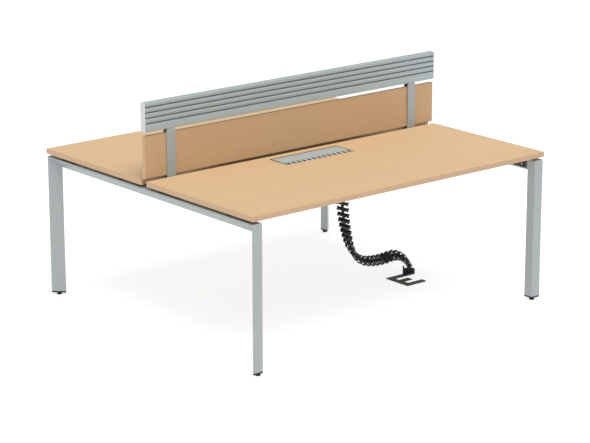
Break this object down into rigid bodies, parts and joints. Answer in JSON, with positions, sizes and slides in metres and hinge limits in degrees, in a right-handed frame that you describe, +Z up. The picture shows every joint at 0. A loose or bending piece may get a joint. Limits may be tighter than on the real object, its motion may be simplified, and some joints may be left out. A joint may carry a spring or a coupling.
{
  "type": "benching desk for two",
  "caption": "Back-to-back bench desk with worktops on bevelled portal frames, a screen with a slatted tool rail, cable ports and a cable spine.",
  "frame": {"origin": "on the floor, under the middle of the desk", "axes": "+X along the desk, +Y from the front user's edge to the rear user's edge, +Z up"},
  "size_m": [1.8, 1.6, 1.11],
  "materials": {
    "worktop_laminate": "satin beech laminate",
    "edge_strip": "beech edge strip",
    "screen_laminate": "satin beech laminate",
    "frame_paint": "silver powder coat",
    "rail_aluminium": "satin anodised",
    "cap_plastic": "light grey",
    "lid_aluminium": "satin anodised",
    "black_plastic": "fine grain",
    "spine_plastic": "satin",
    "black_steel": "black powder coat",
    "plate_steel": "dark powder coat",
    "zinc_steel": "zinc plated"
  },
  "bodies": {
    "desk": {"worktop_front": "worktop_laminate", "worktop_rear": "worktop_laminate", "edge_strip_front": "edge_strip", "edge_strip_rear": "edge_strip", "leg_front_left": "frame_paint", "leg_front_right": "frame_paint", "leg_rear_left": "frame_paint", "leg_rear_right": "frame_paint", "crossbar_left": "frame_paint", "crossbar_right": "frame_paint", "leg_cap_front_left": "black_plastic", "leg_cap_front_right": "black_plastic", "leg_cap_rear_left": "black_plastic", "leg_cap_rear_right": "black_plastic", "beam_front": "frame_paint", "beam_rear": "frame_paint", "beam_bolts": "zinc_steel", "worktop_spacers": "black_plastic", "worktop_brackets": "black_steel", "bracket_screws": "zinc_steel", "worktop_screws": "zinc_steel", "screen_panel": "screen_laminate", "post_left_front": "frame_paint", "post_left_rear": "frame_paint", "post_right_front": "frame_paint", "post_right_rear": "frame_paint", "post_cores": "black_steel", "post_brackets": "black_steel", "post_bolts": "zinc_steel", "rail_screws": "zinc_steel", "tool_rail": "rail_aluminium", "rail_cap_left": "cap_plastic", "rail_cap_right": "cap_plastic", "port_frame_front": "black_plastic", "port_frame_rear": "black_plastic", "hinge_pin_front": "zinc_steel", "hinge_pin_rear": "zinc_steel", "cable_tray": "frame_paint", "spine_head": "spine_plastic", "spine_links_floor": "spine_plastic", "spine_links_bend": "spine_plastic", "spine_links_drop": "spine_plastic", "spine_cup": "spine_plastic", "spine_screws": "zinc_steel", "floor_plate": "plate_steel"},
    "level_front_left": {"foot_front_left": "black_plastic"},
    "level_front_right": {"foot_front_right": "black_plastic"},
    "level_rear_left": {"foot_rear_left": "black_plastic"},
    "level_rear_right": {"foot_rear_right": "black_plastic"},
    "lid_front": {"port_lid_front": "lid_aluminium", "port_comb_front": "lid_aluminium"},
    "lid_rear": {"port_lid_rear": "lid_aluminium", "port_comb_rear": "lid_aluminium"}
  },
  "joints": [
    {"name": "level_front_left_slide", "type": "slide", "parent": "desk", "child": "level_front_left", "axis": [0, 0, -1], "range_m": [0, 0.015]},
    {"name": "level_front_right_slide", "type": "slide", "parent": "desk", "child": "level_front_right", "axis": [0, 0, -1], "range_m": [0, 0.015]},
    {"name": "level_rear_left_slide", "type": "slide", "parent": "desk", "child": "level_rear_left", "axis": [0, 0, -1], "range_m": [0, 0.015]},
    {"name": "level_rear_right_slide", "type": "slide", "parent": "desk", "child": "level_rear_right", "axis": [0, 0, -1], "range_m": [0, 0.015]},
    {"name": "lid_front_hinge", "type": "hinge", "parent": "desk", "child": "lid_front", "pos_m": [0, -0.0775, 0.7407], "axis": [-1, 0, 0], "range_deg": [0, 90]},
    {"name": "lid_rear_hinge", "type": "hinge", "parent": "desk", "child": "lid_rear", "pos_m": [0, 0.0775, 0.7407], "axis": [1, 0, 0], "range_deg": [0, 90]}
  ]
}
